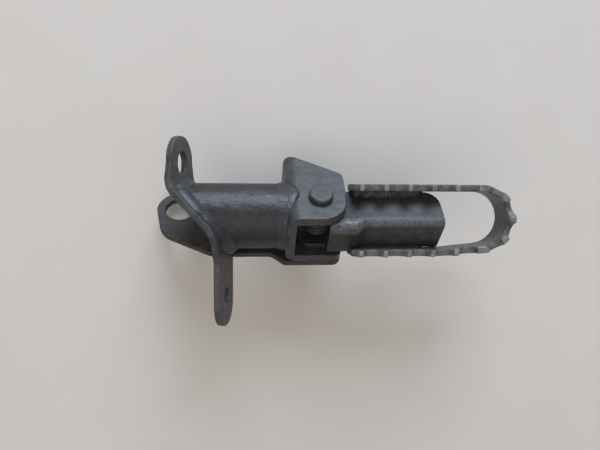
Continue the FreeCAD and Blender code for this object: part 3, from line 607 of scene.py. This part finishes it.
# Split pin: one wire doubled back through the pin, with an eye at the bend and its legs turned aside
splitSizes = {"levelMm": -22.75, "wireMm": 1.0, "shankMm": 7.2, "legMm": 4.0, "bendMm": 1.0, "kneeMm": 0.2,
              "kneeOutMm": 1.2, "eyeMm": 2.0, "eyeAtMm": -10.0, "eyeOpenDegrees": 30, "eyeSteps": 20}
shank = splitSizes["shankMm"]
apart = splitSizes["wireMm"] / 2
splitLeg = [(shank, splitSizes["legMm"]), (shank - splitSizes["kneeMm"], apart + splitSizes["kneeOutMm"]),
            (shank - splitSizes["bendMm"], apart), (-shank, apart)]
eye = []
for i in range(splitSizes["eyeSteps"] + 1):
    openAngle = splitSizes["eyeOpenDegrees"]
    angle = math.radians(openAngle + (360 - 2 * openAngle) * i / splitSizes["eyeSteps"])
    eye.append((splitSizes["eyeAtMm"] + splitSizes["eyeMm"] * math.cos(angle),
                splitSizes["eyeMm"] * math.sin(angle)))
bentWire = splitLeg + eye + [(x, -y) for x, y in reversed(splitLeg)]
splitPoints = [atPivot(x, y, splitSizes["levelMm"]) for x, y in bentWire]
addPiece("splitPin", wireMesh("splitPin", splitPoints, splitSizes["wireMm"] * mm),
         zinc, "bracket", "plated_steel", "split_pin")
washer = nodes["pin_washer"]
washer.data.materials.clear()
washer.data.materials.append(zinc)
print("spring and split pin made")

# Matt paper, plain and pale, under the lowest point: an even warm white without sheen
floorLook = {"colour": "#d2cabe", "fleck": "#cbc2b6", "fleckMm": 40, "roughness": 0.95, "halfSize": 8.0}


def mattPaper(name):
    material, tree = startMaterial(name)
    place = addNode(tree, "ShaderNodeTexCoord")
    fleck = addNode(tree, "ShaderNodeTexNoise", {"Scale": perMetre(floorLook["fleckMm"]), "Detail": 6},
                    {"Vector": place.outputs["Object"]})
    colour = addNode(tree, "ShaderNodeMix",
                     {"A": hexColour(floorLook["colour"]), "B": hexColour(floorLook["fleck"])},
                     {"Factor": fleck.outputs["Fac"]}, data_type="RGBA")
    shader = addNode(tree, "ShaderNodeBsdfPrincipled", {"Roughness": floorLook["roughness"]},
                     {"Base Color": colour.outputs["Result"]})
    addNode(tree, "ShaderNodeOutputMaterial", None, {"Surface": shader.outputs["BSDF"]})
    return material


half = floorLook["halfSize"]
floorMesh = bpy.data.meshes.new("floor")
floorCorners = [(-half, -half, 0), (half, -half, 0), (half, half, 0), (-half, half, 0)]
floorMesh.from_pydata(floorCorners, [], [(0, 1, 2, 3)])
floor = bpy.data.objects.new("floor", floorMesh)
floor.location.z = cadBox[0].z
floor.data.materials.append(mattPaper("mattPaper"))
bpy.context.scene.collection.objects.link(floor)

# Cool daylight from a low window ahead, warm soft light from above and behind
lamps = {
    "windowLight": {"at": (0.18, 1.48, 0.76), "sizeM": 1.0, "watts": 35.0, "colour": "#d6e5ff"},
    "roomLight": {"at": (-0.30, -0.62, 1.5), "sizeM": 1.3, "watts": 7.2, "colour": "#fff8f0"},
}
lampAim = (cadBox[0] + cadBox[1]) / 2
for name, look in lamps.items():
    light = bpy.data.lights.new(name, "AREA")
    light.size = look["sizeM"]
    light.energy = look["watts"]
    light.color = hexColour(look["colour"])[:3]
    lamp = bpy.data.objects.new(name, light)
    lamp.location = look["at"]
    lamp.rotation_mode = "QUATERNION"
    lamp.rotation_quaternion = (lampAim - lamp.location).to_track_quat("-Z", "Y")
    bpy.context.scene.collection.objects.link(lamp)

worldLook = {"colour": "#e9ecf0", "strength": 0.5}
world = bpy.data.worlds.new("studio")
bpy.context.scene.world = world
world.use_nodes = True
world.node_tree.nodes.clear()
sky = addNode(world.node_tree, "ShaderNodeBackground",
              {"Color": hexColour(worldLook["colour"]), "Strength": worldLook["strength"]})
addNode(world.node_tree, "ShaderNodeOutputWorld", None, {"Surface": sky.outputs["Background"]})

# Camera nearly above the tread: the part's point at aimMm shows at aimPixel of a 600 by 450 frame
cameraView = {"aimMm": (70.5, -26.0, 0.0), "aimPixel": (317, 216), "frame": (600, 450), "focalPixels": 540,
              "distanceMm": 277, "leanDegrees": 6, "nodDegrees": 4, "sensorMm": 36, "clipMm": 10}
cameraData = bpy.data.cameras.new("camera")
cameraData.sensor_width = cameraView["sensorMm"]
cameraData.lens = cameraView["focalPixels"] / cameraView["frame"][0] * cameraView["sensorMm"]
cameraData.clip_start = cameraView["clipMm"] * mm
camera = bpy.data.objects.new("camera", cameraData)
bpy.context.scene.collection.objects.link(camera)
turned = (Matrix.Rotation(-math.radians(cameraView["nodDegrees"]), 3, "X")
          @ Matrix.Rotation(-math.radians(cameraView["leanDegrees"]), 3, "Y"))
aside = [(pixel - size / 2) / cameraView["focalPixels"]
         for pixel, size in zip(cameraView["aimPixel"], cameraView["frame"])]
aimInView = Vector((aside[0], -aside[1], -1)) * cameraView["distanceMm"] * mm
camera.location = Vector(cameraView["aimMm"]) * mm - turned @ aimInView
camera.rotation_mode = "QUATERNION"
camera.rotation_quaternion = turned.to_quaternion()
bpy.context.scene.camera = camera
bpy.context.scene.view_settings.view_transform = "Standard"
print("floor, light and camera set")
